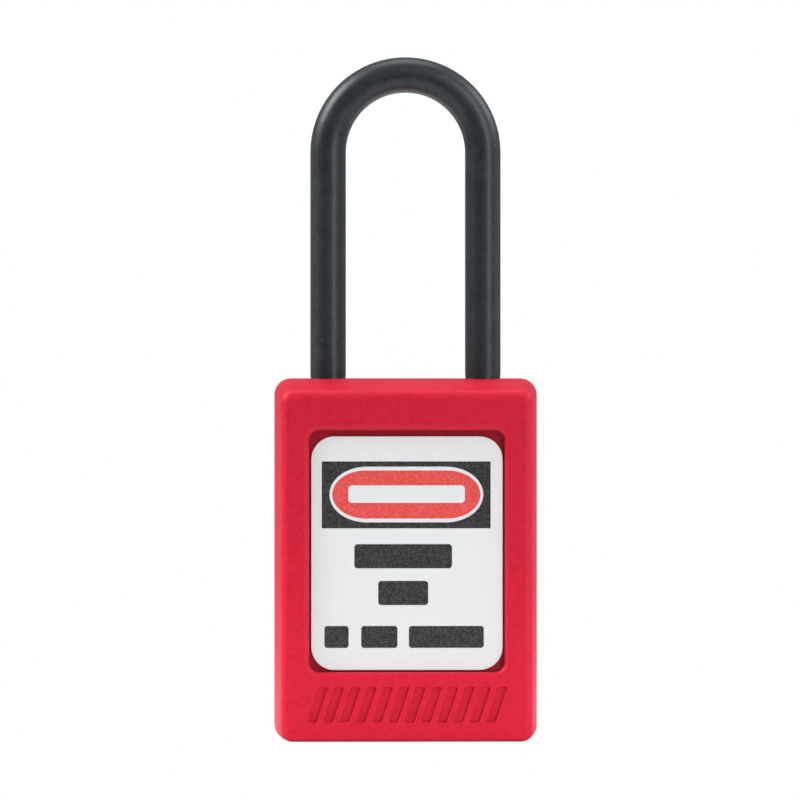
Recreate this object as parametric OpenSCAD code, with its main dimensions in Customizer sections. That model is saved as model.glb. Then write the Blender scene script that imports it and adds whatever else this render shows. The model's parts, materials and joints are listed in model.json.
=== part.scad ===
// Safety lockout padlock with a moulded plastic case, a nylon shackle, a six-pin cylinder
// and a pair of locking levers that the cylinder draws in through a cam.
// Millimetres. +X right, -Y towards the front label, +Z up. The origin is the centre of the
// case's bottom face. The heel leg, which stays in the case, is at -X; the toe leg is at +X.

/* [Case] */
// Width of the case at the middle of its bowed sides
case_w = 35; // [34.6:0.1:38]
// Depth of the case, front to back
case_d = 20; // [19.8:0.1:22]
// Height of the case at the middle of its crowned top
case_h = 48; // [48:0.1:52]
// Radius of the case's top corners, seen from the front
top_corner_r = 2.2; // [1.6:0.1:2.6]
// Radius of the case's bottom corners, seen from the front
bottom_corner_r = 1.9; // [1.6:0.1:2.4]
// Radius of the rounded edges of the front and back faces
face_edge_r = 1; // [0.5:0.1:1.2]
// Radius of the bottom front and back edges
bottom_edge_r = 0.6; // [0.3:0.1:1]
// Radius of the top's crown, front to back
crown_r = 28; // [26:1:80]
// Radius of the sides' bow, front to back
side_bow_r = 50; // [40:1:120]

/* [Shackle] */
// Diameter of the shackle's exposed legs
shackle_d = 4.76; // [4.6:0.01:4.8]
// Distance between the two legs
shackle_gap = 15.88; // [15.8:0.01:16]
// Height of the opening between the case and the inside of the bend
shackle_clear = 38.1; // [25:0.1:76]
// How far the shackle rises when it is freed
shackle_lift = 10.6; // [10.4:0.1:10.6]

/* [Labels] */
// Width of the label recess
recess_w = 25.8; // [20:0.1:26.4]
// Height of the label recess
recess_h = 31.9; // [24:0.1:33]
// Depth of the label recess
recess_t = 1.3; // [0.6:0.1:1.4]
// Height of the recess's lower edge above the case's bottom
recess_z = 9.2; // [9:0.1:11]
// Gap between the label and the recess at the sides and below
label_gap = 0.25; // [0.2:0.05:0.8]
// Gap between the label and the recess above it
label_top_gap = 0.8; // [0.2:0.05:1]
// Corner radius of the labels
label_r = 3.1; // [1:0.1:4]
// Thickness of the labels
label_t = 0.4; // [0.2:0.05:0.5]

/* [Cylinder] */
// Radius of the key plug
plug_r = 4.5; // [4.4:0.05:4.5]
// Distance of the plug's axis in front of the case's mid plane
plug_y = -1.5; // [-1.6:0.05:-1.4]
// Distance between neighbouring pin stacks
pin_pitch = 4; // [3.6:0.1:4]
// Radius of the pins
pin_r = 1.4; // [1.2:0.05:1.4]

/* [Hidden] */

$fn = 64;
// Overshoot of a cutter past the face it opens
past = 1;

// Shackle
leg_r = shackle_d / 2;
leg_x = (shackle_gap + shackle_d) / 2;
// The stretch that slides in the case is a little thinner
guided_r = leg_r - 0.05;
guide_bore_r = guided_r + 0.1;
neck_z = case_h + 0.6;
neck_h = 0.7;
bend_z = case_h + shackle_clear - shackle_gap / 2;
toe_tip_z = 37.8;
heel_tip_z = 20;
tip_chamfer = 0.5;
// Notches that the levers lock into, each with a ramp below it
notch_depth = 1.3;
notch_top = 45.9;
notch_low = 41;
ramp_low = 38.4;

// Cavity for the mechanism, open at the bottom
cavity_x = 6.55;
cavity_front = -7.7;
cavity_back = 7.9;
cavity_top = 45.5;
well_r = 3.2;
heel_stop_z = 34;
web_low = 33.2;
web_top = 35.2;
web_hole_r = 1.35;
window_low = 42.7;
window_y = 2.4;
window_gap = 0.16;

// Ring on the heel leg; its top face meets the stop at the end of the lift
clip_t = 0.8;
clip_top = heel_stop_z - shackle_lift - 0.1;
clip_slot_r = 1.6;
clip_outer_r = 3.05;
clip_mouth = 2.4;

// Bottom cover and its snap hooks
cover_x = 14.7;
cover_y = 8.2;
cover_low = 0.1;
cover_top = 1.7;
cover_r = 2;
cover_gap = 0.05;
hook_half_w = 1.25;
hook_in = 5.9;
hook_out = 6.9;
hook_tip = 7.45;
hook_barb_z = 5.6;
hook_top = 7;
hook_gap = 0.1;
drain_r = 0.9;

// Shackle spring, on a seat of the bottom cover
spring_seat_z = 5;
spring_seat_r = 2.9;
spring_peg_r = 1.3;
spring_peg_h = 2;

// Levers, the carrier they slide in, and the cam
lever_low = 42.9;
lever_top = 45.3;
cam_orbit = 2;
cam_pin_r = 0.6;
cam_pin_rest = cam_orbit / sqrt(2);
cam_slot = 0.12;
slot_reach = cam_pin_r + 0.1;
nose_tip_x = 9.04;
nose_y = 2.2;
bar_x = 6.45;
bar_in = 5.6;
arm_tip = 0.194;
lever_front = -5;
lever_back = 6;
lever_spring_y = 4.4;
lever_spring_r = 1.1;
lever_peg_r = 0.65;
lever_mid_z = (lever_low + lever_top) / 2;
carrier_floor = lever_low - 0.05;
carrier_top = 45.4;
cam_shaft_r = 2.9;
cam_top_r = 3.1;
cam_flange_z = 40.9;

// Cylinder. The housing and the carrier share one outline
barrel_x = 6.5;
barrel_front = -7.6;
barrel_back = 7.75;
housing_low = 1.85;
housing_top = 33;
lug_low = 29;
lug_y = 2;
lug_r = 2.9;
lug_gap = 0.15;
screw_r = 1.2;
screw_low = 27.5;
screw_head_r = 2.2;
screw_head_h = 1.75;
plug_face_z = 0.5;
plug_flange_r = 5.2;
plug_flange_top = 2.3;
plug_tail_z = 35;
plug_bore_r = plug_r + 0.05;
chamber_r = pin_r + 0.05;
chamber_floor = 2.25;
shear_gap = 0.05;
groove_low = 33.05;
groove_top = 33.85;
groove_r = 3.6;
plug_clip_r = 5.4;
plug_clip_mouth = 4.4;
blade_half = 0.8;
blade_reach = 2.5;
keyway_end = 30.5;
first_pin_z = 7;
driver_len = 2.6;
driver_start = plug_y + plug_r + 0.02;
driver_end = driver_start + driver_len;
strip_y = 7.2;
strip_x = 2;
strip_low = 4;
strip_top = first_pin_z + 5 * pin_pitch + 3;
key_pin_len = [5.3, 6.2, 4.85, 5.75, 5.3, 4.85];

function pin_z(i) = first_pin_z + pin_pitch * (i - 1);

// Points of an arc, from angle a0 to a1 about [cx, cy]
function arc(cx, cy, r, a0, a1, n = 6) =
    [for (i = [0:n]) let (a = a0 + (a1 - a0) * i / n) [cx + r * cos(a), cy + r * sin(a)]];

// A rectangle between two corners, with a radius for its lower and upper corners
function rounded(x0, y0, x1, y1, r_low, r_top, n = 6) = concat(
    arc(x0 + r_low, y0 + r_low, r_low, 180, 270, n),
    arc(x1 - r_low, y0 + r_low, r_low, 270, 360, n),
    arc(x1 - r_top, y1 - r_top, r_top, 0, 90, n),
    arc(x0 + r_top, y1 - r_top, r_top, 90, 180, n)
);

module block(low, high) {
    translate(low) cube(high - low);
}

// A rounded plate standing upright, from y = low to y = high
module upright_plate(points, low, high) {
    translate([0, high, 0]) rotate([90, 0, 0]) linear_extrude(high - low) polygon(points);
}

module rod(r, low, high) {
    translate([0, 0, low]) cylinder(r = r, h = high - low);
}

// Fall of an arch of radius r at distance d from its crest
function arch_drop(r, d) = r - sqrt(max(0, r * r - d * d));

// Fall of a fillet of radius r at distance d past its start
function fillet_drop(r, d) = arch_drop(r, max(0, d));

// Coil along +Z from z = 0 to z = length: one closed turn at each end, the rest evenly open
function coil_rise(t, turns, wire, length) =
    let (closed = wire * 1.04, open = (length - wire - 2 * closed) / (turns - 2))
    wire / 2 + (t < 1 ? closed * t
        : t < turns - 1 ? closed + open * (t - 1)
        : closed + open * (turns - 2) + closed * (t - turns + 1));

module coil(outer_r, wire, turns, length, steps = 12, sides = 6) {
    mid_r = outer_r - wire / 2;
    n = turns * steps;
    points = [
        for (i = [0:n]) let (t = i / steps, a = 360 * t, z = coil_rise(t, turns, wire, length))
        for (j = [0:sides - 1]) let (b = 360 * j / sides, r = mid_r + wire / 2 * cos(b))
        [r * cos(a), r * sin(a), z + wire / 2 * sin(b)]
    ];
    walls = [
        for (i = [0:n - 1]) for (j = [0:sides - 1])
        let (k = (j + 1) % sides, p = i * sides, q = p + sides)
        [p + j, q + j, q + k, p + k]
    ];
    first_cap = [for (j = [0:sides - 1]) j];
    last_cap = [for (j = [0:sides - 1]) n * sides + sides - 1 - j];
    polyhedron(points, concat(walls, [first_cap], [last_cap]), convexity = 10);
}

// ---- Case ----

// Front outline of the case at distance d from its mid plane, a little below its bottom too
function case_outline(d) =
    let (
        least_corner_r = 0.4,
        half = case_d / 2,
        under = 0.05,
        edge = fillet_drop(face_edge_r, d - (half - face_edge_r)),
        side = arch_drop(side_bow_r, d) + edge,
        top = arch_drop(crown_r, d) + edge,
        low = fillet_drop(bottom_edge_r, d - (half - bottom_edge_r)) - under
    )
    rounded(-case_w / 2 + side, low, case_w / 2 - side, case_h - top,
        max(least_corner_r, bottom_corner_r - side / 2),
        max(least_corner_r, top_corner_r - 0.8 * side));

// The case's outer shape, hulled over thin slices
module case_blank() {
    edge = case_d / 2 - face_edge_r;
    skin = 0.005;
    distances = concat([for (i = [0:5]) edge * i / 6],
        [for (a = [0:18:90]) edge + face_edge_r * sin(a) - skin]);
    hull() for (d = distances) for (s = [-1, 1])
        upright_plate(case_outline(d), s * d - skin, s * d + skin);
}

module leg_holes() {
    for (s = [-1, 1]) {
        bore_low = s < 0 ? heel_stop_z - past : web_top;
        translate([s * leg_x, 0, 0]) {
            rod(guide_bore_r, bore_low, case_h + past);
            rod(well_r, -past, s < 0 ? heel_stop_z : web_low);
        }
    }
}

module label_recess(side) {
    low = side < 0 ? -case_d / 2 - past : case_d / 2 - recess_t;
    corner = 1.4;
    upright_plate(rounded(-recess_w / 2, recess_z, recess_w / 2, recess_z + recess_h, corner, corner),
        low, low + recess_t + past);
}

// Row of slanted bars sunk below the front label
module grip_bars() {
    count = 12;
    pitch = 2.15;
    depth = 0.5;
    low = 2.6;
    high = 7.2;
    half = 0.6;
    lean = (high - low) * tan(18) / 2;
    for (i = [0:count - 1]) {
        x = (i - (count - 1) / 2) * pitch;
        upright_plate([[x - lean - half, low], [x - lean + half, low],
            [x + lean + half, high], [x + lean - half, high]],
            -case_d / 2 - past, -case_d / 2 + depth);
    }
}

module cover_seat() {
    x = cover_x + cover_gap;
    y = cover_y + cover_gap;
    translate([0, 0, -past]) linear_extrude(cover_top + cover_gap + past)
        polygon(rounded(-x, -y, x, y, cover_r, cover_r));
    for (side = [-leg_x, leg_x]) translate([side, 0, 0]) {
        hook_pocket();
        mirror([0, 1, 0]) hook_pocket();
    }
}

// Pocket for a snap hook, in the row at y > 0
module hook_pocket() {
    half = hook_half_w + 2 * hook_gap;
    top = hook_top + 3 * hook_gap;
    block([-half, hook_in - hook_gap, 0], [half, hook_out + hook_gap, top]);
    block([-half, hook_out, hook_barb_z - 2 * hook_gap], [half, hook_tip + 1.5 * hook_gap, top]);
}

module body_shell() {
    color([0.82, 0.1, 0.17]) difference() {
        case_blank();
        block([-case_w, -case_d, -past], [case_w, case_d, 0]);
        block([-cavity_x, cavity_front, -past], [cavity_x, cavity_back, cavity_top]);
        leg_holes();
        // Windows for the lever noses
        block([-nose_tip_x - window_gap, -window_y, window_low],
            [nose_tip_x + window_gap, window_y, cavity_top]);
        // Slot for the cylinder housing's lug
        block([cavity_x - past, -lug_y - lug_gap, -past], [leg_x, lug_y + lug_gap, web_low]);
        translate([leg_x, 0, 0]) rod(web_hole_r, web_low - past, web_top + past);
        cover_seat();
        label_recess(-1);
        label_recess(1);
        grip_bars();
    }
}

// Snap hook of the bottom cover, in the row at y > 0
module snap_hook() {
    root = 0.1;
    block([-hook_half_w, hook_in, cover_top - root], [hook_half_w, hook_out, hook_top]);
    block([-hook_half_w, hook_out - root, hook_barb_z], [hook_half_w, hook_tip, hook_top]);
}

module bottom_cover() {
    color([0.8, 0.1, 0.16]) difference() {
        union() {
            translate([0, 0, cover_low]) linear_extrude(cover_top - cover_low)
                polygon(rounded(-cover_x, -cover_y, cover_x, cover_y, cover_r, cover_r));
            for (x = [-leg_x, leg_x]) translate([x, 0, 0]) {
                snap_hook();
                mirror([0, 1, 0]) snap_hook();
            }
            // Seat and peg for the shackle spring
            translate([-leg_x, 0, 0]) {
                rod(spring_seat_r, cover_low, spring_seat_z);
                rod(spring_peg_r, cover_low, spring_seat_z + spring_peg_h);
            }
        }
        translate([0, plug_y, 0]) rod(plug_flange_r + 0.15, -past, cover_top + past);
        // Drain hole under the toe leg
        translate([leg_x, 0, 0]) rod(drain_r, -past, cover_top + past);
    }
}

module label(side) {
    w = recess_w - 2 * label_gap;
    h = recess_h - label_gap - label_top_gap;
    floor_y = case_d / 2 - recess_t;
    low_z = recess_z + label_gap;
    low = side < 0 ? -floor_y - label_t : floor_y;
    upright_plate(rounded(-w / 2, low_z, w / 2, low_z + h, label_r, label_r), low, low + label_t);
}

module front_label() {
    color([0.88, 0.89, 0.89]) label(-1);
}

module back_label() {
    color([0.88, 0.89, 0.89]) label(1);
}

// ---- Shackle ----

// One leg about its own axis, from its tip up to the bend
module leg(tip) {
    rod(leg_r, neck_z, bend_z);
    translate([0, 0, neck_z - neck_h]) cylinder(r1 = guided_r, r2 = leg_r, h = neck_h);
    rod(guided_r, tip + tip_chamfer, neck_z - neck_h);
    translate([0, 0, tip]) cylinder(r1 = guided_r - tip_chamfer, r2 = guided_r, h = tip_chamfer);
}

// Notch in the inner side of the toe leg, with a ramp below it
module notch() {
    face = guided_r;
    floor_x = -face + notch_depth;
    rotate([90, 0, 0]) linear_extrude(4 * leg_r, center = true) polygon([
        [-face - past, notch_top], [floor_x, notch_top],
        [floor_x, notch_low], [-face, ramp_low], [-face - past, ramp_low]
    ]);
}

module shackle() {
    color([0.13, 0.13, 0.15]) difference() {
        union() {
            translate([-leg_x, 0, 0]) leg(heel_tip_z);
            translate([leg_x, 0, 0]) leg(toe_tip_z);
            translate([0, 0, bend_z]) rotate([90, 0, 0])
                rotate_extrude(angle = 180) translate([leg_x, 0]) circle(r = leg_r);
        }
        translate([leg_x, 0, 0]) notch();
        translate([-leg_x, 0, 0]) mirror([1, 0, 0]) notch();
        // Groove for the ring
        translate([-leg_x, 0, 0]) difference() {
            rod(leg_r + past, clip_top - clip_t - 0.1, clip_top + 0.1);
            rod(clip_slot_r, clip_top - clip_t - past, clip_top + past);
        }
    }
}

// Open ring about Z, entered from -Y
module open_ring(inner_r, outer_r, low, high, mouth) {
    difference() {
        rod(outer_r, low, high);
        rod(inner_r, low - past, high + past);
        block([-mouth / 2, -outer_r - past, low - past], [mouth / 2, 0, high + past]);
    }
}

module shackle_clip() {
    color("silver") translate([-leg_x, 0, 0])
        open_ring(clip_slot_r + 0.05, clip_outer_r, clip_top - clip_t, clip_top, clip_mouth);
}

module shackle_spring() {
    gap = 0.03;
    color("silver") translate([-leg_x, 0, spring_seat_z + gap])
        coil(2.2, 0.6, 10, heel_tip_z - spring_seat_z - 2 * gap, 14, 8);
}

// ---- Levers and cam ----

// Lever shape for the heel side; y0 to y1 is the arm, s0 to s1 its slot for the cam's pin
module lever(y0, y1, s0, s1) {
    slot_half = cam_pin_r + cam_slot;
    chamfer = 0.45;
    difference() {
        union() {
            block([-nose_tip_x, -nose_y, lever_low], [-bar_in - 0.1, nose_y, lever_top]);
            block([-bar_x, lever_front, lever_low], [-bar_in, lever_back, lever_top]);
            block([-bar_in - 0.1, y0, lever_low], [-arm_tip, y1, lever_top]);
            translate([-bar_in - 0.1, lever_spring_y, lever_mid_z]) rotate([0, 90, 0])
                rod(lever_peg_r, 0, 1.1);
        }
        block([-cam_pin_rest - slot_half, s0, lever_low - past],
            [-cam_pin_rest + slot_half, s1, lever_top + past]);
        // Chamfer under and over the nose
        for (z = [lever_low, lever_top]) translate([-nose_tip_x, 0, z]) rotate([0, 45, 0])
            cube([chamfer, 3 * nose_y, chamfer], center = true);
    }
}

module locking_lever_left() {
    color([0.72, 0.72, 0.74])
        lever(lever_front, -1.6, plug_y - cam_orbit - slot_reach, plug_y - cam_pin_rest + slot_reach);
}

module locking_lever_right() {
    color([0.72, 0.72, 0.74]) mirror([1, 0, 0])
        lever(-1.4, 2, plug_y + cam_pin_rest - slot_reach, plug_y + cam_orbit + slot_reach);
}

module lever_spring() {
    gap = 0.05;
    color("silver") translate([-bar_in + gap, lever_spring_y, lever_mid_z]) rotate([0, 90, 0])
        coil(lever_spring_r, 0.3, 11, 2 * (bar_in - gap), 12, 6);
}

// Outline shared by the lever carrier and the cylinder housing
module barrel(low, high, corner) {
    translate([0, 0, low]) linear_extrude(high - low)
        polygon(rounded(-barrel_x, barrel_front, barrel_x, barrel_back, corner, corner));
}

module lever_carrier() {
    gap = 0.15;
    color([0.2, 0.2, 0.22]) difference() {
        barrel(web_low, carrier_top, 0.8);
        block([-barrel_x - past, lever_front - gap, carrier_floor],
            [barrel_x + past, lever_back + gap, carrier_top + past]);
        translate([0, plug_y, 0]) {
            rod(cam_top_r + 0.2, cam_flange_z - 0.1, carrier_top + past);
            rod(cam_shaft_r + 0.1, web_low, carrier_top);
            // Room for the plug's tail and its ring
            rod(plug_clip_r + 0.3, web_low - past, plug_tail_z + 0.2);
        }
    }
}

module actuator_cam() {
    join = 0.1;
    blade_low = groove_top - 0.15;
    color([0.78, 0.66, 0.35]) translate([0, plug_y, 0]) {
        block([-blade_half, -blade_reach, blade_low], [blade_half, blade_reach, plug_tail_z + 0.4]);
        rod(cam_shaft_r, plug_tail_z + 0.3, cam_flange_z + join);
        rod(cam_top_r, cam_flange_z, lever_low - 0.2);
        for (a = [45, 225]) translate([cam_orbit * cos(a), cam_orbit * sin(a), 0])
            rod(cam_pin_r, lever_low - 0.3, lever_top - 0.2);
    }
}

// ---- Cylinder ----

module cylinder_housing() {
    color([0.66, 0.67, 0.69]) difference() {
        union() {
            barrel(housing_low, housing_top, 1);
            block([barrel_x - 0.5, -lug_y, lug_low], [leg_x, lug_y, housing_top]);
            translate([leg_x, 0, 0]) rod(lug_r, lug_low, housing_top);
        }
        translate([0, plug_y, 0]) {
            rod(plug_bore_r, 0, housing_top + past);
            rod(plug_flange_r + 0.1, 0, plug_flange_top + 0.1);
        }
        for (i = [1:6]) translate([0, plug_y, pin_z(i)]) rotate([-90, 0, 0])
            rod(chamber_r, 0, barrel_back - plug_y + past);
        // Groove for the spring cover
        block([-strip_x - 0.05, strip_y, strip_low - 0.1], [strip_x + 0.05, 8, strip_top + 0.05]);
        translate([leg_x, 0, 0]) rod(screw_r + 0.05, lug_low - past, housing_top + past);
    }
}

module spring_cover() {
    color("silver") block([-strip_x, strip_y + 0.02, strip_low], [strip_x, 7.7, strip_top]);
}

module retaining_screw() {
    head_low = web_top + 0.05;
    socket_low = head_low + 0.6;
    color([0.5, 0.5, 0.52]) translate([leg_x, 0, 0]) difference() {
        union() {
            rod(screw_r, screw_low, head_low + 0.1);
            rod(screw_head_r, head_low, head_low + screw_head_h);
        }
        translate([0, 0, socket_low]) cylinder(r = 0.85, h = screw_head_h, $fn = 6);
    }
}

// Section of the keyway, its wards bulging from either wall
module keyway() {
    half = 0.95;
    ward = 0.55;
    polygon([
        [-half, -3.9], [half, -3.9], [half, -2.4], [half - ward, -2.4], [half - ward, -1.5],
        [half, -1.5], [half, 1.9], [-half, 1.9], [-half, 0.5], [-half + ward, 0.5],
        [-half + ward, -0.4], [-half, -0.4]
    ]);
}

module key_plug() {
    color([0.8, 0.66, 0.33]) translate([0, plug_y, 0]) difference() {
        union() {
            rod(plug_r, plug_face_z + 0.1, plug_tail_z);
            rod(plug_flange_r, plug_face_z, plug_flange_top);
        }
        translate([0, 0, -past]) linear_extrude(keyway_end + past) keyway();
        for (i = [1:6]) translate([0, -chamber_floor, pin_z(i)]) rotate([-90, 0, 0])
            rod(chamber_r, 0, 8);
        difference() {
            rod(plug_r + past, groove_low, groove_top);
            rod(groove_r, groove_low - past, groove_top + past);
        }
        // Slot for the cam's blade
        block([-blade_half - 0.05, -blade_reach - 0.1, groove_top - 0.25],
            [blade_half + 0.05, blade_reach + 0.1, plug_tail_z + past]);
    }
}

module plug_clip() {
    color("silver") translate([0, plug_y, 0])
        open_ring(groove_r + 0.05, plug_clip_r, groove_low + 0.05, groove_top - 0.05,
            plug_clip_mouth);
}

// Key pin, its top rounded to the plug, its foot tapered to ride a key
module key_pin(i) {
    top_r = plug_r - shear_gap;
    foot = top_r - key_pin_len[i - 1];
    taper = 0.7;
    color([0.8, 0.66, 0.33]) translate([0, plug_y, 0]) intersection() {
        translate([0, foot, pin_z(i)]) rotate([-90, 0, 0]) union() {
            cylinder(r1 = 0.6, r2 = pin_r, h = taper);
            rod(pin_r, taper, 8);
        }
        rod(top_r, pin_z(i) - 3, pin_z(i) + 3);
    }
}

module driver_pin(i) {
    bevel = 0.2;
    color("silver") translate([0, driver_start, pin_z(i)]) rotate([-90, 0, 0]) {
        cylinder(r1 = pin_r - bevel, r2 = pin_r, h = bevel);
        rod(pin_r, bevel, driver_len - bevel);
        translate([0, 0, driver_len - bevel]) cylinder(r1 = pin_r, r2 = pin_r - bevel, h = bevel);
    }
}

module pin_spring(i) {
    gap = 0.02;
    color("silver") translate([0, driver_end + gap, pin_z(i)]) rotate([-90, 0, 0])
        coil(1.2, 0.25, 4, strip_y - driver_end - 2 * gap, 12, 6);
}

body_shell();
bottom_cover();
front_label();
back_label();
shackle();
shackle_clip();
shackle_spring();
lever_carrier();
locking_lever_left();
locking_lever_right();
lever_spring();
actuator_cam();
cylinder_housing();
spring_cover();
retaining_screw();
key_plug();
plug_clip();
key_pin(1);  // key_pin_1
key_pin(2);  // key_pin_2
key_pin(3);  // key_pin_3
key_pin(4);  // key_pin_4
key_pin(5);  // key_pin_5
key_pin(6);  // key_pin_6
driver_pin(1);  // driver_pin_1
driver_pin(2);  // driver_pin_2
driver_pin(3);  // driver_pin_3
driver_pin(4);  // driver_pin_4
driver_pin(5);  // driver_pin_5
driver_pin(6);  // driver_pin_6
pin_spring(1);  // pin_spring_1
pin_spring(2);  // pin_spring_2
pin_spring(3);  // pin_spring_3
pin_spring(4);  // pin_spring_4
pin_spring(5);  // pin_spring_5
pin_spring(6);  // pin_spring_6
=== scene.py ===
"""Safety lockout padlock: its looks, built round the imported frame. Lengths in this file are millimetres
unless a name or comment says otherwise, and MM turns them into Blender's metres."""

import json
import math

import bmesh
import bpy
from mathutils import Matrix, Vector


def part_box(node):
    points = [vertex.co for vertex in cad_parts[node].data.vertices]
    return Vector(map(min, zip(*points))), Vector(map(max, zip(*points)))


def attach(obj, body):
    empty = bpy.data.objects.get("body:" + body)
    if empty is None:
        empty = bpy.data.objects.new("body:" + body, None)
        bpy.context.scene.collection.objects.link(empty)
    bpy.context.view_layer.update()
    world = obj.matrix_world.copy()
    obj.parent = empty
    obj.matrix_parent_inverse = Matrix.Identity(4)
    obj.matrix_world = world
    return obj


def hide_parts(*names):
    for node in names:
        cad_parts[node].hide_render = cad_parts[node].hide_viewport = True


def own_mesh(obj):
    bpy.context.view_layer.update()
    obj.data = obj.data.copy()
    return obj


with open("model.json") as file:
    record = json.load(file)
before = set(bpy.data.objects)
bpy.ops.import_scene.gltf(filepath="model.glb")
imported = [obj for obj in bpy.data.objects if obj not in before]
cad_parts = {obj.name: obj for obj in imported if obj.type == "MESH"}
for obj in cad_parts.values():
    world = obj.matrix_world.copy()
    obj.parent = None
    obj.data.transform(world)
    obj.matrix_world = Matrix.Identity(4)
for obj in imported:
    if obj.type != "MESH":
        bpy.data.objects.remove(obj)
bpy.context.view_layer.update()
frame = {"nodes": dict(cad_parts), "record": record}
nodes = frame["nodes"]

MM = 0.001

# Case
FACE_EDGE_R = 1.0
BOTTOM_EDGE_R = 0.6
CROWN_R = 28.0
SIDE_BOW_R = 50.0
TOP_CORNER_R = 2.2
BOTTOM_CORNER_R = 1.9
RECESS_W, RECESS_H, RECESS_T = 25.8, 31.9, 1.3
RECESS_LOW = 9.2
RECESS_CORNER_R = 1.4
RIM_R = 0.8
FLOOR_R = 0.08

# Mechanism space inside the case. Each box is its lowest and highest corner
CAVITY = ((-6.55, -7.7, -1.0), (6.55, 7.9, 45.5))
WINDOW = ((-9.2, -2.4, 42.7), (9.2, 2.4, 45.5))
LUG_SLOT = ((5.5, -2.15, -1.0), (10.32, 2.15, 33.2))
GUIDE_BORE_R = 2.43
WELL_R = 3.2
HEEL_STOP, WEB_LOW, WEB_TOP = 34.0, 33.2, 35.2
SCREW_HOLE_R = 1.35
# Seat of the bottom cover: half width, half depth, top and corner radius
COVER_SEAT = (14.75, 8.25, 1.75, 2.0)
# Pockets for the cover's snap hooks: half their width, and their outline as (y, z) pairs
HOOK_HALF_W = 1.45
HOOK_POCKET = [(5.8, -1.0), (7.0, -1.0), (7.0, 5.4), (7.6, 5.4), (7.6, 7.3), (5.8, 7.3)]
# Bevel at the mouth of each shackle hole
MOUTH_BEVEL = 0.12
# How far a cutter reaches past the face it opens
PAST = 1.0

# Slanted bars sunk in the front. Their walls widen by BAR_DRAFT from the floor to the rim
BAR_COUNT, BAR_PITCH, BAR_DEPTH = 12, 2.15, 0.5
BAR_LOW, BAR_HIGH, BAR_W, BAR_LEAN = 2.6, 7.2, 1.2, math.tan(math.radians(18))
BAR_RIM_R, BAR_CORNER_R, BAR_DRAFT = 0.22, 0.2, 0.02

# Labels
LABEL_CORNER_R, LABEL_EDGE_R = 3.1, 0.07

# Shackle
NECK_LOW, NECK_HIGH = 47.9, 48.6
GUIDED_LESS = 0.05
TOE_TIP = 37.8
TIP_CHAMFER = 0.5
NOTCH_DEPTH, NOTCH_TOP, NOTCH_LOW, RAMP_LOW = 1.3, 45.9, 41.0, 38.4
# Groove for the clip on the heel leg: low, high and radius
CLIP_GROOVE = (22.4, 23.4, 1.6)


def box_mm(node):
    """A CAD node's lowest and highest corner, in millimetres."""
    low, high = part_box(node)
    return Vector(low) / MM, Vector(high) / MM


case_low, case_high = box_mm("body_shell")
half_depth = case_high.y
bow_low, bow_high = box_mm("shackle")
leg_r = (bow_high.y - bow_low.y) / 2
leg_x = bow_high.x - leg_r
bend_z = bow_high.z - leg_x - leg_r
plug_low, plug_high = box_mm("key_plug")
plug_y = (plug_low.y + plug_high.y) / 2


# ---- Mesh helpers ----


def make_object(name, bm):
    """An object from a bmesh in millimetres, in the row frame."""
    bmesh.ops.recalc_face_normals(bm, faces=bm.faces)
    mesh = bpy.data.meshes.new(name)
    bm.to_mesh(mesh)
    bm.free()
    for v in mesh.vertices:
        v.co *= MM
    obj = bpy.data.objects.new(name, mesh)
    bpy.context.scene.collection.objects.link(obj)
    return obj


def add_loft(bm, rings):
    """Joins rings of points, all with the same count, by quads, and caps the first and the last."""
    made = [[bm.verts.new(p) for p in ring] for ring in rings]
    count = len(made[0])
    for one, other in zip(made, made[1:]):
        for i in range(count):
            j = (i + 1) % count
            bm.faces.new((one[i], one[j], other[j], other[i]))
    bm.faces.new(made[0][::-1])
    bm.faces.new(made[-1])


def add_box(bm, low, high):
    corners = [(low[0], low[1]), (high[0], low[1]), (high[0], high[1]), (low[0], high[1])]
    add_loft(bm, [[(x, y, z) for x, y in corners] for z in (low[2], high[2])])


def add_turned(bm, x, y, profile, steps=48):
    """A solid turned about the vertical line through (x, y), from (radius, height) pairs."""
    angles = [math.tau * i / steps for i in range(steps)]
    add_loft(bm, [[(x + r * math.cos(a), y + r * math.sin(a), z) for a in angles] for r, z in profile])


def rounded_rect(x0, z0, x1, z1, r_low, r_top, steps=8, side=6):
    """Outline of a rectangle with rounded corners, its sides divided so that every one has the same count."""
    corners = [
        (x0 + r_low, z0 + r_low, r_low, 180),
        (x1 - r_low, z0 + r_low, r_low, 270),
        (x1 - r_top, z1 - r_top, r_top, 0),
        (x0 + r_top, z1 - r_top, r_top, 90),
    ]
    arcs = []
    for cx, cz, r, start in corners:
        turns = [math.radians(start + 90 * i / steps) for i in range(steps + 1)]
        arcs.append([(cx + r * math.cos(a), cz + r * math.sin(a)) for a in turns])
    points = []
    for arc, following in zip(arcs, arcs[1:] + arcs[:1]):
        (ax, az), (bx, bz) = arc[-1], following[0]
        points += arc
        points += [(ax + (bx - ax) * i / side, az + (bz - az) * i / side) for i in range(1, side)]
    return points


def arch_drop(r, d):
    """How far an arch of radius r has fallen at distance d from its crest."""
    return r - math.sqrt(max(0.0, r * r - d * d))


def fillet_drop(r, d):
    """How far a fillet of radius r has fallen at distance d past its start."""
    return arch_drop(r, max(0.0, d))


def cut(obj, bm):
    """Takes a bmesh of separate closed solids away from obj."""
    cutter = make_object("cutter", bm)
    cutting = obj.modifiers.new("cut", "BOOLEAN")
    cutting.operation = "DIFFERENCE"
    cutting.solver = "EXACT"
    cutting.object = cutter
    graph = bpy.context.evaluated_depsgraph_get()
    mesh = bpy.data.meshes.new_from_object(obj.evaluated_get(graph))
    obj.modifiers.clear()
    obj.data = mesh
    bpy.data.objects.remove(cutter)


# How strongly large faces rule the shading normals, of 100, and the angle past which an edge is sharp
NORMAL_WEIGHT = 80
SHARP_DEG = 38


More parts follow.
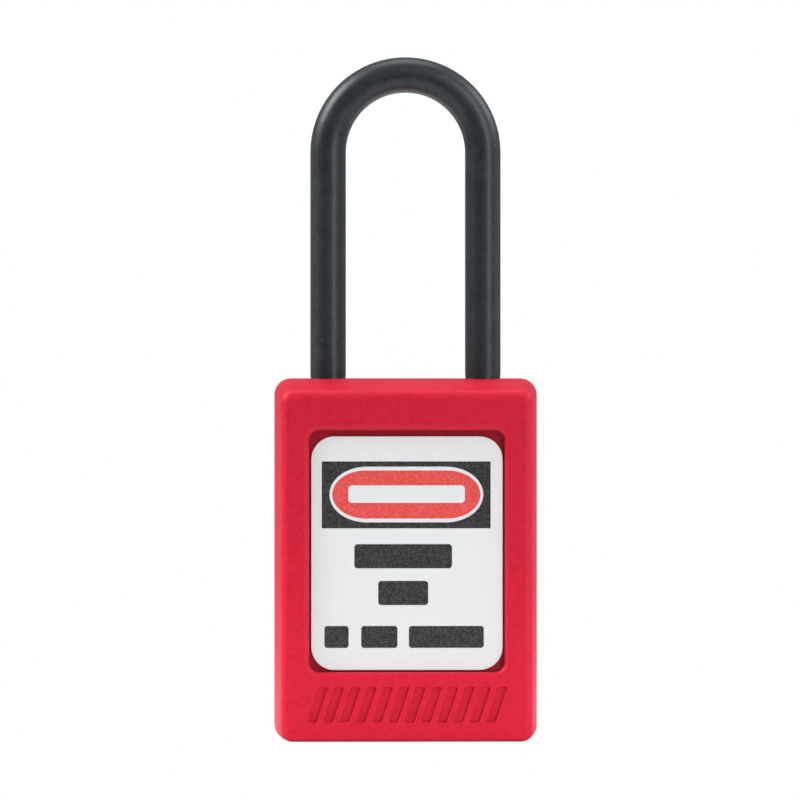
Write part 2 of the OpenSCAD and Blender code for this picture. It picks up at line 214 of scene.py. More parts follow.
def finish_surface(obj):
    """Smooth shading that keeps flat faces flat and sharp edges crisp."""
    obj.data.shade_smooth()
    obj.data.set_sharp_from_angle(angle=math.radians(SHARP_DEG))
    weigh = obj.modifiers.new("weigh", "WEIGHTED_NORMAL")
    weigh.keep_sharp = True
    weigh.weight = NORMAL_WEIGHT


def soften_cad(obj, width):
    """Rounds a CAD node's sharp edges by a bevel modifier; its own mesh stays as packed."""
    weld = obj.modifiers.new("weld", "WELD")
    weld.merge_threshold = 0.001 * MM
    bevel = obj.modifiers.new("soften", "BEVEL")
    bevel.width = width * MM
    bevel.segments = 2
    bevel.limit_method = "ANGLE"
    bevel.angle_limit = math.radians(SHARP_DEG)
    bevel.harden_normals = False
    weigh = obj.modifiers.new("weigh", "WEIGHTED_NORMAL")
    weigh.keep_sharp = False
    weigh.weight = NORMAL_WEIGHT


# ---- Node helpers ----


class Shader:
    """A node material and short ways to add to it. Positions are read in millimetres of the row frame."""

    def __init__(self, name):
        self.material = bpy.data.materials.new(name)
        self.material.use_nodes = True
        self.tree = self.material.node_tree
        self.surface = self.tree.nodes["Principled BSDF"]
        coordinates = self.tree.nodes.new("ShaderNodeTexCoord")
        self.place = self.vector("SCALE", coordinates.outputs["Object"], scale=1 / MM)

    def put(self, kind, inputs=(), **settings):
        """Adds a node, sets it up and feeds its inputs from sockets or plain values."""
        made = self.tree.nodes.new(kind)
        for key, value in settings.items():
            setattr(made, key, value)
        for key, value in dict(inputs).items():
            if isinstance(value, bpy.types.NodeSocket):
                self.tree.links.new(value, made.inputs[key])
            else:
                made.inputs[key].default_value = value
        return made

    def vector(self, operation, a, b=None, scale=None):
        inputs = {0: a}
        if b is not None:
            inputs[1] = b
        if scale is not None:
            inputs["Scale"] = scale
        made = self.put("ShaderNodeVectorMath", inputs, operation=operation)
        return made.outputs["Value" if operation == "LENGTH" else "Vector"]

    def math(self, operation, a, b=None, clamp=False):
        inputs = {0: a} if b is None else {0: a, 1: b}
        return self.put("ShaderNodeMath", inputs, operation=operation, use_clamp=clamp).outputs[0]

    def noise(self, size, detail=3.0, rough=0.55, place=None):
        """Noise from 0 to 1 whose patches are about size millimetres wide."""
        inputs = {"Vector": place or self.place, "Scale": 1 / size, "Detail": detail, "Roughness": rough}
        return self.put("ShaderNodeTexNoise", inputs).outputs["Fac"]

    def remap(self, value, low, high, out_low, out_high, smooth=False):
        inputs = {"Value": value, "From Min": low, "From Max": high, "To Min": out_low, "To Max": out_high}
        kind = "SMOOTHSTEP" if smooth else "LINEAR"
        return self.put("ShaderNodeMapRange", inputs, interpolation_type=kind).outputs["Result"]

    def mix(self, amount, a, b):
        made = self.put("ShaderNodeMix", {"Factor": amount}, data_type="RGBA")
        for socket, value in ((made.inputs[6], a), (made.inputs[7], b)):
            if isinstance(value, bpy.types.NodeSocket):
                self.tree.links.new(value, socket)
            else:
                socket.default_value = (*value, 1.0)
        return made.outputs[2]

    def axes(self):
        made = self.put("ShaderNodeSeparateXYZ", {0: self.place})
        return made.outputs["X"], made.outputs["Y"], made.outputs["Z"]

    def set(self, **values):
        """Feeds the surface: base_color=..., roughness=... and so on."""
        for key, value in values.items():
            socket = self.surface.inputs[key.replace("_", " ").title().replace("Ior", "IOR")]
            if isinstance(value, bpy.types.NodeSocket):
                self.tree.links.new(value, socket)
            else:
                colour = isinstance(value, tuple) and len(socket.default_value) == 4
                socket.default_value = (*value, 1.0) if colour else value

    def bump(self, *layers):
        """Stacks bumps, each a (height socket, depth in millimetres) pair."""
        normal = None
        for height, depth in layers:
            inputs = {"Height": height, "Strength": 1.0, "Distance": depth * MM}
            if normal is not None:
                inputs["Normal"] = normal
            normal = self.put("ShaderNodeBump", inputs).outputs["Normal"]
        self.tree.links.new(normal, self.surface.inputs["Normal"])


def rounded_box_group():
    """Node group: 1 inside a rounded rectangle in the X-Z plane and 0 outside, with a thin soft edge. Its
    corners are Squash times as tall as they are wide."""
    tree = bpy.data.node_groups.new("rounded_box", "ShaderNodeTree")
    for name in ("X", "Z", "Centre X", "Centre Z", "Half W", "Half H", "Radius", "Soft", "Squash"):
        tree.interface.new_socket(name, in_out="INPUT", socket_type="NodeSocketFloat")
    tree.interface.new_socket("Mask", in_out="OUTPUT", socket_type="NodeSocketFloat")
    start = tree.nodes.new("NodeGroupInput").outputs
    end = tree.nodes.new("NodeGroupOutput")

    def calc(operation, *values):
        made = tree.nodes.new("ShaderNodeMath")
        made.operation = operation
        for i, value in enumerate(values):
            if isinstance(value, bpy.types.NodeSocket):
                tree.links.new(value, made.inputs[i])
            else:
                made.inputs[i].default_value = value
        return made.outputs[0]

    def reach(axis, centre, half, scale):
        away = calc("ABSOLUTE", calc("SUBTRACT", start[axis], start[centre]))
        past_half = calc("MULTIPLY", calc("SUBTRACT", away, start[half]), scale)
        return calc("ADD", past_half, start["Radius"])

    x = reach("X", "Centre X", "Half W", start["Squash"])
    z = reach("Z", "Centre Z", "Half H", 1.0)
    past_x, past_z = calc("MAXIMUM", x, 0.0), calc("MAXIMUM", z, 0.0)
    outside = calc("SQRT", calc("ADD", calc("MULTIPLY", past_x, past_x), calc("MULTIPLY", past_z, past_z)))
    inside = calc("MINIMUM", calc("MAXIMUM", x, z), 0.0)
    distance = calc("SUBTRACT", calc("ADD", outside, inside), start["Radius"])
    depth = calc("DIVIDE", calc("MULTIPLY", distance, -1.0), start["Soft"])
    mask = tree.nodes.new("ShaderNodeClamp")
    tree.links.new(calc("ADD", depth, 0.5), mask.inputs["Value"])
    tree.links.new(mask.outputs[0], end.inputs["Mask"])
    return tree


ROUNDED_BOX = rounded_box_group()


# ---- Materials ----


def recess_shade_mask(s):
    """Mask of the painted shade: 1 deep inside the label recesses and 0 elsewhere."""
    x, y, z = s.axes()
    bottom = half_depth - RECESS_T
    # the painted shade starts 0.55 mm above the recess's floor and is full from 0.25 mm down
    deep = s.remap(s.math("ABSOLUTE", y), bottom + 0.25, bottom + 0.55, 1.0, 0.0)
    beside = s.math("LESS_THAN", s.math("ABSOLUTE", x), RECESS_W / 2 + RIM_R)
    above = s.math("GREATER_THAN", z, RECESS_LOW - RIM_R)
    below = s.math("LESS_THAN", z, RECESS_LOW + RECESS_H + RIM_R)
    return s.math("MULTIPLY", s.math("MULTIPLY", deep, beside), s.math("MULTIPLY", above, below))


def moulded_red(name, tone):
    """Moulded thermoplastic: faint mottling in the colour, a fine spark-eroded grain and a satin sheen, with
    painted light and shade: lighter towards the bottom, and a darker red deep in the label recesses.
    """
    s = Shader(name)
    mottle = s.noise(0.9, detail=4.0, rough=0.65)
    drift = s.noise(14.0, detail=2.0)
    fleck = s.noise(0.3, detail=2.0)
    base = s.mix(s.remap(mottle, 0.35, 0.65, 0.0, 1.0), tone["deep"], tone["bright"])
    base = s.mix(s.remap(drift, 0.3, 0.7, 0.0, 0.35), base, tone["warm"])
    base = s.mix(s.remap(fleck, 0.5, 0.7, 0.0, 0.4), base, tone["bright"])
    # painted light and shade: the colour is lighter towards the bottom and darker towards the top, as light
    # bouncing up from the floor would make it
    base = s.vector("SCALE", base, scale=s.remap(s.axes()[2], 0.0, case_high.z, 1.07, 0.89))
    # painted shade: a darker red deep in the label recesses, where shadow falls
    if "recess" in tone:
        base = s.mix(recess_shade_mask(s), base, tone["recess"])
    grain = s.noise(0.11, detail=2.0)
    wave = s.noise(5.0, detail=1.0)
    s.set(
        base_color=base,
        roughness=s.remap(mottle, 0.3, 0.7, 0.44, 0.52),
        subsurface_weight=0.12,
        subsurface_radius=(1.0, 0.12, 0.1),
        subsurface_scale=0.6 * MM,
        specular_ior_level=0.4,
        specular_tint=(1.0, 0.6, 0.6),
    )
    s.bump((wave, 0.02), (grain, 0.012))
    return s.material


def printed_label(name, box, shapes):
    """White write-on film. shapes lists (colour, centre x, centre z, half width, half height, radius) from
    the bottom layer up, measured from the label's middle. A seventh value makes the corners that many times
    as tall as they are wide."""
    s = Shader(name)
    x, _, z = s.axes()
    low, high = box
    middle = (low + high) / 2
    fibre = s.noise(0.5, detail=4.0, rough=0.7)
    tint = s.noise(9.0, detail=2.0)
    base = s.mix(s.remap(fibre, 0.3, 0.7, 0.0, 0.5), (0.72, 0.735, 0.735), (0.78, 0.79, 0.785))
    base = s.mix(s.remap(tint, 0.35, 0.65, 0.0, 0.3), base, (0.74, 0.745, 0.75))
    speckle = s.remap(s.noise(0.2, detail=3.0), 0.4, 0.68, 0.0, 1.0)
    inks = {
        "black": s.mix(speckle, (0.012, 0.013, 0.014), (0.062, 0.064, 0.064)),
        "red": s.mix(speckle, (0.70, 0.055, 0.05), (0.78, 0.12, 0.11)),
        "white": base,
    }
    inked = None
    for colour, cx, cz, half_w, half_h, radius, *squash in shapes:
        inputs = {
            "X": x,
            "Z": z,
            "Centre X": middle.x + cx,
            "Centre Z": middle.z + cz,
            "Half W": half_w,
            "Half H": half_h,
            "Radius": min(radius, half_w, half_h) - 0.01,
            "Soft": 0.05,
            "Squash": squash[0] if squash else 1.0,
        }
        mask = s.put("ShaderNodeGroup", node_tree=ROUNDED_BOX)
        for key, value in inputs.items():
            if isinstance(value, bpy.types.NodeSocket):
                s.tree.links.new(value, mask.inputs[key])
            else:
                mask.inputs[key].default_value = value
        base = s.mix(mask.outputs[0], base, inks[colour])
        inked = s.math("MAXIMUM", inked, mask.outputs[0]) if inked else mask.outputs[0]
    s.set(base_color=base, roughness=s.remap(inked, 0.0, 1.0, 0.42, 0.34), specular_ior_level=0.4)
    s.bump((tint, 0.02), (fibre, 0.003))
    return s.material


def nylon_black(name):
    """Glass-filled nylon: a cloudy charcoal with a dry sheen, a fine grain and a few light fibre ends."""
    s = Shader(name)
    _, y, _ = s.axes()
    cloud = s.noise(2.4, detail=4.0, rough=0.6)
    fine = s.noise(0.3, detail=3.0, rough=0.7)
    base = s.mix(s.remap(cloud, 0.35, 0.65, 0.0, 1.0), (0.011, 0.0138, 0.016), (0.020, 0.0245, 0.0285))
    base = s.mix(s.remap(fine, 0.5, 0.75, 0.0, 0.5), base, (0.040, 0.045, 0.050))
    cells = s.put("ShaderNodeTexVoronoi", {"Vector": s.place, "Scale": 1.0}, feature="F1")
    chance = s.put("ShaderNodeSeparateColor", {0: cells.outputs["Color"]}).outputs[0]
    near = s.remap(cells.outputs["Distance"], 0.05, 0.09, 1.0, 0.0)
    speck = s.math("MULTIPLY", near, s.math("GREATER_THAN", chance, 0.86))
    base = s.mix(s.math("MULTIPLY", speck, 0.8), base, (0.35, 0.36, 0.38))
    grain = s.noise(0.09, detail=2.0)
    seam = s.remap(s.math("ABSOLUTE", y), 0.03, 0.09, 1.0, 0.0, smooth=True)
    s.set(base_color=base, roughness=s.remap(fine, 0.3, 0.7, 0.30, 0.40))
    s.set(specular_ior_level=0.44, specular_tint=(0.9, 0.97, 1.0))
    s.bump((cloud, 0.015), (grain, 0.014), (seam, 0.02))
    return s.material


def metal(name, dark, light, rough, lines=None, pits=0.0, metallic=1.0):
    """Bare metal: tone drift, fine scratches along, across or round the plug's axis, and pits for a casting."""
    s = Shader(name)
    drift = s.noise(3.0, detail=4.0)
    base = s.mix(s.remap(drift, 0.3, 0.7, 0.0, 1.0), dark, light)
    if lines == "round":
        x, y, _ = s.axes()
        away = s.put("ShaderNodeCombineXYZ", {"X": x, "Y": s.math("SUBTRACT", y, plug_y)})
        radius = s.vector("LENGTH", away.outputs[0])
        ring = s.put("ShaderNodeCombineXYZ", {"X": s.math("MULTIPLY", radius, 14.0)}).outputs[0]
        scratch = s.noise(1.0, detail=3.0, rough=0.7, place=ring)
    else:
        stretch = {"along": (1.0, 1.0, 0.06), "across": (0.06, 1.0, 1.0), None: (1.0, 1.0, 1.0)}[lines]
        scratch = s.noise(0.12, detail=3.0, rough=0.7, place=s.vector("MULTIPLY", s.place, stretch))
    layers = [(scratch, 0.006)]
    if pits:
        layers.append((s.noise(0.4, detail=4.0), pits))
    base = s.mix(s.remap(scratch, 0.55, 0.8, 0.0, 0.35), base, tuple(0.7 * c for c in dark))
    s.set(base_color=base, metallic=metallic, roughness=s.remap(scratch, 0.3, 0.7, rough - 0.06, rough + 0.08))
    s.bump(*layers)
    return s.material


CASE_TONE = {
    "deep": (0.54, 0.003, 0.024),
    "bright": (0.66, 0.006, 0.038),
    "warm": (0.62, 0.007, 0.032),
    # recess: a darker red painted into the label recesses as shade
    "recess": (0.30, 0.001, 0.012),
}
COVER_TONE = {
    "deep": (0.52, 0.006, 0.026),
    "bright": (0.58, 0.010, 0.036),
    "warm": (0.56, 0.013, 0.031),
}

# Plain shapes stand where the label's words would be: header, outlined red oval, and bars for its lines
FRONT_PRINT = [
    ("black", -0.1, 7.7, 11.15, 4.42, 0.05),
    ("white", -0.08, 7.75, 10.15, 3.68, 3.68, 0.74),
    ("red", -0.08, 7.75, 9.78, 3.18, 3.18, 0.72),
    ("white", -0.05, 7.8, 7.7, 1.15, 0.5),
    ("black", -0.5, -0.4, 6.45, 1.6, 0.45),
    ("black", -0.5, -5.25, 3.3, 1.6, 0.45),
    ("black", -9.3, -11.05, 1.6, 1.45, 0.4),
    ("black", -3.65, -11.05, 2.4, 1.45, 0.4),
    ("black", 5.2, -11.05, 4.95, 1.45, 0.4),
]
RULE_STEP, RULE_COUNT = 5.0, 4
BACK_PRINT = [
    ("black", 0.0, 10.6, 11.1, 2.6, 0.05),
    ("white", 0.0, 10.6, 5.5, 0.8, 0.4),
]
for row in range(RULE_COUNT):
    level = 3.2 - row * RULE_STEP
    BACK_PRINT.append(("black", 0.0, level, 11.1, 0.09, 0.05))
    BACK_PRINT.append(("black", -9.4 + 0.4 * (row % 2), level - 1.1, 1.7 + 0.4 * (row % 2), 0.35, 0.15))

MATERIALS = {
    "case_plastic": moulded_red("case_plastic", CASE_TONE),
    "cover_plastic": moulded_red("cover_plastic", COVER_TONE),
    "front_label": printed_label("front_label", box_mm("front_label"), FRONT_PRINT),
    "back_label": printed_label("back_label", box_mm("back_label"), BACK_PRINT),
    "nylon": nylon_black("nylon"),
    "carrier_plastic": nylon_black("carrier_plastic"),
    "lever_steel": metal("lever_steel", (0.36, 0.36, 0.37), (0.5, 0.5, 0.51), 0.34, "across"),
    "spring_steel": metal("spring_steel", (0.48, 0.48, 0.5), (0.62, 0.62, 0.64), 0.24, "along"),
    "screw_steel": metal("screw_steel", (0.26, 0.26, 0.28), (0.38, 0.38, 0.4), 0.32, "along"),
    "cam_brass": metal("cam_brass", (0.5, 0.36, 0.15), (0.64, 0.48, 0.22), 0.3, "round"),
    "plug_brass": metal("plug_brass", (0.56, 0.41, 0.17), (0.72, 0.55, 0.26), 0.26, "round"),
    "pin_brass": metal("pin_brass", (0.56, 0.41, 0.17), (0.7, 0.54, 0.26), 0.26, "along"),
    "pin_steel": metal("pin_steel", (0.45, 0.45, 0.47), (0.58, 0.58, 0.6), 0.26, "along"),
    "zinc": metal("zinc", (0.3, 0.31, 0.33), (0.42, 0.43, 0.45), 0.48, pits=0.03),
}


def dress(obj, slot):
    """Gives obj the finish of one of the record's material slots."""
    obj.data.materials.clear()
    obj.data.materials.append(MATERIALS[slot])


# ---- Case ----


def case_ring(y):
    """Outline of the case at distance y from front to back."""
    away = abs(y)
    edge = fillet_drop(FACE_EDGE_R, away - (half_depth - FACE_EDGE_R))
    side = arch_drop(SIDE_BOW_R, y) + edge
    top = arch_drop(CROWN_R, y) + edge
    low = fillet_drop(BOTTOM_EDGE_R, away - (half_depth - BOTTOM_EDGE_R))
    outline = rounded_rect(
        case_low.x + side,
        case_low.z + low,
        case_high.x - side,
        case_high.z - top,
        BOTTOM_CORNER_R - 0.5 * side,
        TOP_CORNER_R - 0.8 * side,
    )
    return [(x, y, z) for x, z in outline]


def recess_rings(sign, steps=6):
    """Rings from the middle of a label recess's floor out over its rounded rim, on the side of sign."""
    turns = [math.radians(90 * i / steps) for i in range(steps + 1)]
    # each pair is how far the ring lies outside the recess's wall, and how deep
    places = [(-FLOOR_R * (1 - math.cos(t)), RECESS_T - FLOOR_R * (1 - math.sin(t))) for t in turns[::-1]]
    places += [(RIM_R * (1 - math.cos(t)), RIM_R * (1 - math.sin(t))) for t in turns]
    rings = []
    for out, depth in places:
        outline = rounded_rect(
            -RECESS_W / 2 - out,
            RECESS_LOW - out,
            RECESS_W / 2 + out,
            RECESS_LOW + RECESS_H + out,
            RECESS_CORNER_R + out,
            RECESS_CORNER_R + out,
        )
        rings.append([(x, sign * (half_depth - depth), z) for x, z in outline])
    return rings


def case_blank():
    """The case's outer shape with both label recesses, from front to back, before any other cut."""
    edge = half_depth - FACE_EDGE_R
    fillet = [edge + FACE_EDGE_R * math.sin(math.radians(a)) for a in range(90, 0, -9)]
    spans = 20
    across = [edge * (1 - 2 * i / spans) for i in range(spans + 1)]
    stations = [-y for y in fillet] + [-y for y in across] + fillet[::-1]
    rings = recess_rings(-1) + [case_ring(y) for y in stations] + recess_rings(1)[::-1]
    bm = bmesh.new()
    add_loft(bm, rings)
    return make_object("case", bm)


def bar_outline(x, out):
    """Slanted bar about x, grown by out, with small round corners."""
    half_w, half_h = BAR_W / 2 + out, (BAR_HIGH - BAR_LOW) / 2 + out
    middle = (BAR_HIGH + BAR_LOW) / 2
    corner = BAR_CORNER_R + out
    flat = rounded_rect(-half_w, -half_h, half_w, half_h, corner, corner, steps=4, side=2)
    return [(x + dx + dz * BAR_LEAN, middle + dz) for dx, dz in flat]


def add_bar_cutter(bm, x):
    """One bar's cutter, flared at its mouth so that the cut leaves a rounded rim."""
    front = -half_depth
    turns = [math.radians(a) for a in range(0, 81, 16)]
    # each pair is how far the ring lies outside the bar's outline, and how deep
    places = [(-BAR_DRAFT, BAR_DEPTH)]
    places += [(BAR_RIM_R * (1 - math.cos(t)), BAR_RIM_R * (1 - math.sin(t))) for t in turns]
    out, depth = places[-1]
    # the last two lie past the face: the rounding's flat end, and the cutter's own end
    places += [(out + 0.06, depth - 0.012), (out + 0.06, -0.5)]
    add_loft(bm, [[(px, front + depth, pz) for px, pz in bar_outline(x, out)] for out, depth in places])


def add_hook_pocket(bm, x, side):
    """Pocket for one of the bottom cover's snap hooks, with its undercut."""
    add_loft(bm, [[(x + dx, side * y, z) for y, z in HOOK_POCKET] for dx in (-HOOK_HALF_W, HOOK_HALF_W)])


def make_case():
    """The case with its cuts. Cutters that would meet each other are taken away in separate steps."""
    case = case_blank()
    bars_and_bores = bmesh.new()
    for i in range(BAR_COUNT):
        add_bar_cutter(bars_and_bores, (i - (BAR_COUNT - 1) / 2) * BAR_PITCH)
    mouth = [
        (GUIDE_BORE_R, case_high.z - MOUTH_BEVEL),
        (GUIDE_BORE_R + MOUTH_BEVEL, case_high.z),
        (GUIDE_BORE_R + MOUTH_BEVEL + PAST, case_high.z + PAST),
    ]
    heel_well = [(WELL_R, -PAST), (WELL_R, HEEL_STOP)]
    add_turned(bars_and_bores, -leg_x, 0, heel_well + [(GUIDE_BORE_R, HEEL_STOP)] + mouth)
    add_turned(bars_and_bores, leg_x, 0, [(WELL_R, -PAST), (WELL_R, WEB_LOW)])
    add_turned(bars_and_bores, leg_x, 0, [(GUIDE_BORE_R, WEB_TOP)] + mouth)
    cut(case, bars_and_bores)
    cavity = bmesh.new()
    add_box(cavity, *CAVITY)
    for x in (-leg_x, leg_x):
        for side in (-1, 1):
            add_hook_pocket(cavity, x, side)
    cut(case, cavity)
    slots = bmesh.new()
    add_box(slots, *WINDOW)
    add_box(slots, *LUG_SLOT)
    cut(case, slots)
    seat_and_screw = bmesh.new()
    half_x, half_y, top, r = COVER_SEAT
    seat = rounded_rect(-half_x, -half_y, half_x, half_y, r, r)
    add_loft(seat_and_screw, [[(x, y, z) for x, y in seat] for z in (-PAST, top)])
    add_turned(seat_and_screw, leg_x, 0, [(SCREW_HOLE_R, WEB_LOW - PAST), (SCREW_HOLE_R, WEB_TOP + PAST)])
    cut(case, seat_and_screw)
    finish_surface(case)
    dress(case, "case_plastic")
    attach(case, "lock_body")
    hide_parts("body_shell")


# ---- Labels ----


def make_label(name, node, sign):
    """Film label with slightly rounded edges, filling the CAD label's box. sign is -1 in front, 1 behind."""
    low, high = box_mm(node)
    back, face = (high.y, low.y) if sign < 0 else (low.y, high.y)
    turns = [math.radians(a) for a in range(0, 91, 30)]
    insets = [LABEL_EDGE_R * (1 - math.cos(t)) for t in turns]
    places = [(0.0, back)]
    places += [(inset, face - sign * LABEL_EDGE_R * (1 - math.sin(t))) for inset, t in zip(insets, turns)]
    rings = []
    for inset, y in places:
        corner = LABEL_CORNER_R - inset
        outline = rounded_rect(
            low.x + inset, low.z + inset, high.x - inset, high.z - inset, corner, corner, steps=14
        )
        rings.append([(x, y, z) for x, z in outline])
    bm = bmesh.new()
    add_loft(bm, rings)
    obj = make_object(name, bm)
    finish_surface(obj)
    dress(obj, node)
    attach(obj, "lock_body")
    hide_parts(node)


# ---- Shackle ----


def leg_stations(tip, step=2.5):
    """(height, radius) pairs up one leg, from its tip to the bend."""
    guided = leg_r - GUIDED_LESS
    heel = tip < TOE_TIP
    stations = [(tip, guided - TIP_CHAMFER), (tip + TIP_CHAMFER, guided)]
    if heel:
        low, high, slim = CLIP_GROOVE
        stations += [(low, guided), (low, slim), (high, slim), (high, guided)]
    stations += [(NECK_LOW, guided), (NECK_HIGH, leg_r)]
    z = NECK_HIGH + step
    while z < bend_z - step / 2:
        stations.append((z, leg_r))
        z += step
    return stations


def make_shackle():
    """The bow, swept along its legs and bend, with a locking notch on the inner side of each leg."""
    frames = [((-leg_x, 0, z), 0.0, r) for z, r in leg_stations(bow_low.z)]
    bend_steps = 48
    for i in range(bend_steps + 1):
        a = math.pi * i / bend_steps
        frames.append(((-leg_x * math.cos(a), 0, bend_z + leg_x * math.sin(a)), a, leg_r))
    frames += [((leg_x, 0, z), math.pi, r) for z, r in reversed(leg_stations(TOE_TIP))]
    sides = 48
    rings = []
    for (cx, cy, cz), a, r in frames:
        ring = []
        for j in range(sides):
            b = math.tau * j / sides
            out, deep = r * math.cos(b), r * math.sin(b)
            ring.append((cx - out * math.cos(a), cy + deep, cz + out * math.sin(a)))
        rings.append(ring)
    bm = bmesh.new()
    add_loft(bm, rings)
    shackle = make_object("shackle_bow", bm)
    notches = bmesh.new()
    face = leg_x - (leg_r - GUIDED_LESS)
    profile = [
        (face - PAST, NOTCH_TOP),
        (face + NOTCH_DEPTH, NOTCH_TOP),
        (face + NOTCH_DEPTH, NOTCH_LOW),
        (face, RAMP_LOW),
        (face - PAST, RAMP_LOW),
    ]
    for side in (-1, 1):
        add_loft(notches, [[(side * x, y, z) for x, z in profile] for y in (-2 * leg_r, 2 * leg_r)])
    cut(shackle, notches)
    finish_surface(shackle)
    dress(shackle, "nylon")
    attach(shackle, "shackle_body")
    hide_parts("shackle")


# ---- CAD nodes that keep their own shape ----

# Edge rounding in millimetres. Coils and pins keep their mesh as packed
SOFTENED = {
    "bottom_cover": 0.12,
    "key_plug": 0.1,
    "cylinder_housing": 0.2,
    "lever_carrier": 0.15,
    "locking_lever_left": 0.12,
    "locking_lever_right": 0.12,
    "actuator_cam": 0.1,
    "retaining_screw": 0.12,
    "spring_cover": 0.08,
    "plug_clip": 0.08,
    "shackle_clip": 0.08,
}


def dress_cad_nodes():
    replaced = {"body_shell", "front_label", "back_label", "shackle", "lever_spring"}
    slot_of = {part["node"]: part["material_slot"] for part in frame["record"]["subparts"]}
    for name, obj in nodes.items():
        if name in replaced:
            continue
        dress(obj, slot_of[name])
        if name in SOFTENED:
            soften_cad(obj, SOFTENED[name])


def make_lever_coil():
    """The lever spring, a copy of the CAD node's coil fixed to the lock body. The real coil shortens from both
    ends as the levers draw in towards each other; this copy keeps its length.
    """
    coil = bpy.data.objects.new("lever_coil", nodes["lever_spring"].data.copy())
    bpy.context.scene.collection.objects.link(coil)
    dress(coil, "spring_steel")
    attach(coil, "lock_body")
    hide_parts("lever_spring")
    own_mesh(coil)


# ---- Stage ----


# How much of the floor's brightness to the camera is its own
FLOOR_GLOW = 0.55
# Slope below which a line of sight counts as level
LEVEL_VIEW = 0.068


def plain_stage():
    """A pale floor that fades into the backdrop. It is clear from below, and under the case, so that the
    underside is lit and can be seen, and a level camera doesn't see it at all."""
    radius, fade_from, fade_to = 500, 110, 320
    steps = 64
    # a hair below the base, so that the two faces don't coincide
    level = -0.02
    bm = bmesh.new()
    turns = [math.tau * i / steps for i in range(steps)]
    bm.faces.new([bm.verts.new((radius * math.cos(a), radius * math.sin(a), level)) for a in turns])
    floor = make_object("floor", bm)
    for polygon in floor.data.polygons:
        if polygon.normal.z < 0:
            polygon.flip()
    s = Shader("floor")
    tone = s.noise(120.0, detail=2.0)
    lit = s.mix(tone, (0.43, 0.43, 0.43), (0.46, 0.46, 0.46))
    seen = s.put("ShaderNodeLightPath").outputs["Is Camera Ray"]
    s.set(base_color=s.mix(seen, (0.8, 0.8, 0.8), lit), roughness=0.8, specular_ior_level=0.0)
    # part of what the camera sees is the floor's own even white, so that shadows stay faint
    s.set(emission_color=(1.0, 1.0, 1.0), emission_strength=s.math("MULTIPLY", seen, FLOOR_GLOW))
    clear = s.put("ShaderNodeBsdfTransparent").outputs[0]
    far = s.remap(s.vector("LENGTH", s.place), fade_from, fade_to, 0.0, 1.0, smooth=True)
    geometry = s.put("ShaderNodeNewGeometry").outputs
    rise = s.put("ShaderNodeSeparateXYZ", {0: geometry["Incoming"]}).outputs["Z"]
    skimmed = s.math("MULTIPLY", seen, s.remap(rise, LEVEL_VIEW, 1.5 * LEVEL_VIEW, 1.0, 0.0))
    x, y, _ = s.axes()
    beside = s.math("LESS_THAN", s.math("ABSOLUTE", x), case_high.x - BOTTOM_EDGE_R / 2)
    inside = s.math("LESS_THAN", s.math("ABSOLUTE", y), case_high.y - BOTTOM_EDGE_R / 2)
    under = s.math("MULTIPLY", beside, inside)
    hidden = geometry["Backfacing"]
    for part in (far, under, skimmed):
        hidden = s.math("MAXIMUM", hidden, part)
    choose = s.put("ShaderNodeMixShader", {0: hidden, 1: s.surface.outputs[0], 2: clear})
    s.tree.links.new(choose.outputs[0], s.tree.nodes["Material Output"].inputs["Surface"])
    floor.data.materials.append(s.material)


# Middle of the object, in metres
MIDDLE = Vector((0, 0, 0.045))


def softbox(name, place, size, radiance, tone=(1.0, 1.0, 1.0)):
    """A rectangular light, its place and size in metres, aimed at the middle of the object."""
    lamp = bpy.data.lights.new(name, "AREA")
    lamp.color = tone
    lamp.shape = "RECTANGLE"
    lamp.size, lamp.size_y = size
    lamp.energy = radiance * math.pi * size[0] * size[1]
    obj = bpy.data.objects.new(name, lamp)
    obj.location = place
    obj.rotation_mode = "QUATERNION"
    obj.rotation_quaternion = (MIDDLE - Vector(place)).to_track_quat("-Z", "Y")
    bpy.context.scene.collection.objects.link(obj)


# The light tent's radiance, from in front of the object at 0 to behind it at 1
TENT = [(0.02, 0.04), (0.15, 0.06), (0.44, 0.7), (0.56, 0.7), (0.85, 0.34), (0.98, 0.3)]


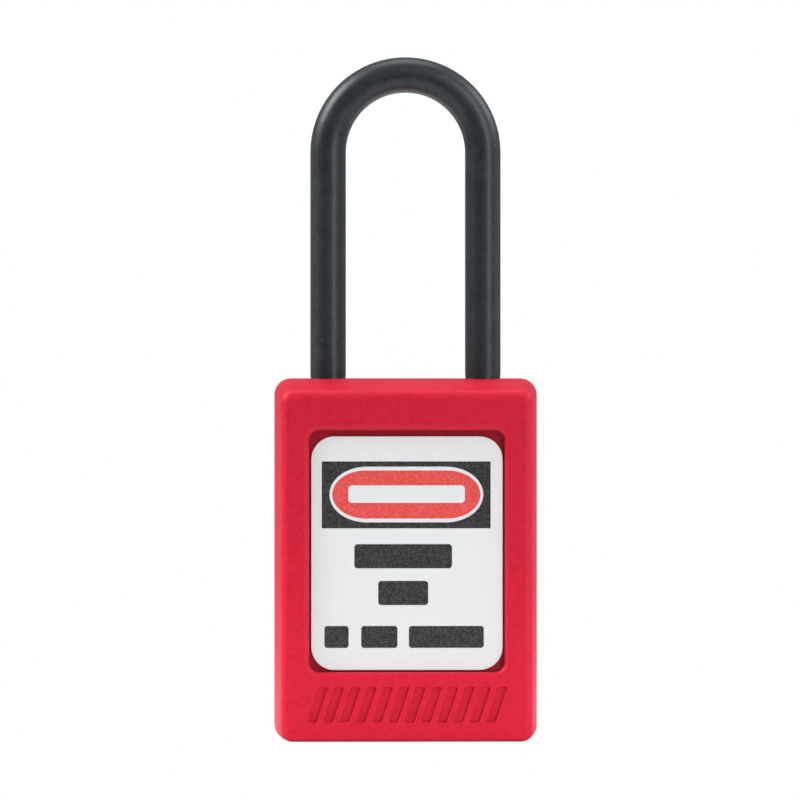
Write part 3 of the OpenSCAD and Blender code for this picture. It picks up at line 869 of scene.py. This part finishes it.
def studio_light():
    """Soft lights and a light tent. Radiances are in units of the white backdrop."""
    softbox("front_high", (0.2, -0.8, 0.5), (0.6, 0.8), 0.7)
    softbox("high_left", (-0.72, -0.1, 0.64), (0.5, 0.5), 11.5)
    softbox("high_right", (0.8, 0.1, 0.6), (0.5, 0.5), 4.4)
    softbox("top", (0.0, 0.12, 0.85), (0.5, 0.4), 3.0)
    softbox("strip", (0.62, -0.74, 0.36), (0.28, 0.9), 5.6, (0.94, 0.99, 1.05))
    world = bpy.data.worlds.new("studio")
    bpy.context.scene.world = world
    world.use_nodes = True
    tree = world.node_tree
    # the backdrop is white to the camera; to everything else it is a light tent, whose walls beside, over
    # and under the object are bright, whose back is dimmer and whose front is dark
    seen = tree.nodes.new("ShaderNodeLightPath").outputs["Is Camera Ray"]
    direction = tree.nodes.new("ShaderNodeTexCoord").outputs["Generated"]
    axes = tree.nodes.new("ShaderNodeSeparateXYZ")
    tree.links.new(direction, axes.inputs[0])
    depth = tree.nodes.new("ShaderNodeMapRange")
    depth.inputs["From Min"].default_value = -1.0
    tree.links.new(axes.outputs["Y"], depth.inputs["Value"])
    tent = tree.nodes.new("ShaderNodeValToRGB")
    tree.links.new(depth.outputs["Result"], tent.inputs["Fac"])
    stops = tent.color_ramp.elements
    for _ in TENT[2:]:
        stops.new(0.5)
    for stop, (place, radiance) in zip(stops, TENT):
        stop.position = place
        stop.color = (radiance, radiance, radiance, 1.0)
    strength = tree.nodes.new("ShaderNodeMapRange")
    tree.links.new(seen, strength.inputs["Value"])
    tree.links.new(tent.outputs["Color"], strength.inputs["To Min"])
    strength.inputs["To Max"].default_value = 1.0
    backdrop = tree.nodes["Background"]
    backdrop.inputs["Color"].default_value = (1.0, 1.0, 1.0, 1.0)
    tree.links.new(strength.outputs["Result"], backdrop.inputs["Strength"])


def photo_camera():
    """Long lens, level, a little to the left of straight on. Lengths in metres."""
    distance = 0.81
    azimuth = math.radians(-1.2)
    aim = Vector((-0.00073, 0, 0.0451))
    field = 0.1068
    camera = bpy.data.cameras.new("camera")
    camera.sensor_width = 36.0
    camera.lens = camera.sensor_width / (field / distance)
    camera.clip_start, camera.clip_end = 0.01, 50.0
    obj = bpy.data.objects.new("camera", camera)
    obj.location = aim + Vector((math.sin(azimuth) * distance, -math.cos(azimuth) * distance, 0))
    obj.rotation_mode = "QUATERNION"
    obj.rotation_quaternion = (aim - obj.location).to_track_quat("-Z", "Y")
    bpy.context.scene.collection.objects.link(obj)
    bpy.context.scene.camera = obj


make_case()
make_label("front_film", "front_label", -1)
make_label("back_film", "back_label", 1)
make_shackle()
make_lever_coil()
dress_cad_nodes()
plain_stage()
studio_light()
photo_camera()
bpy.context.scene.view_settings.view_transform = "Standard"
bpy.context.scene.view_settings.look = "None"
